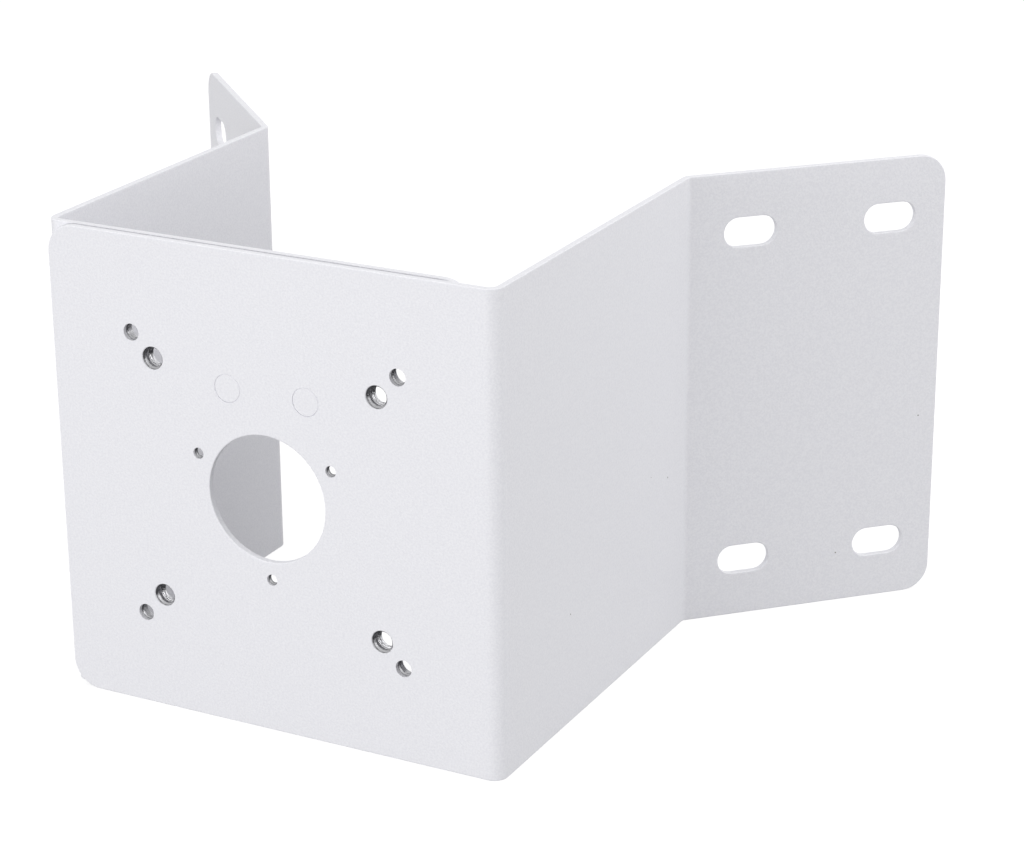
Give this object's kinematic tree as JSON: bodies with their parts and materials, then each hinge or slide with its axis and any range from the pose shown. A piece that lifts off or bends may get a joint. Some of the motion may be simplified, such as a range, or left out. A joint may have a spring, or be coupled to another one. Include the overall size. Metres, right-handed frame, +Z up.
{
  "type": "camera corner mount bracket",
  "caption": "Bracket that carries a security camera on the outside corner of a building: folded steel sheets welded at the front panel, with splayed slotted flanges.",
  "frame": {"origin": "centre of the camera bolt circles and the cable hole, on the front panel's front face", "axes": "+Z up; +X and +Y point into the two walls: the right flange lies along +X and its back faces +Y, the left flange lies along +Y and its back faces +X; the front panel faces between -X and -Y"},
  "size_m": [0.3215, 0.3179, 0.17],
  "materials": {
    "powder_coat": "fine-textured white powder coat, low sheen",
    "cut_thread": "bare cut steel threads, oiled dark"
  },
  "bodies": {
    "root": {"outer_sheet": "powder_coat", "inner_sheet": "powder_coat", "seam_weld": "powder_coat", "plug_welds": "powder_coat"}
  },
  "joints": []
}
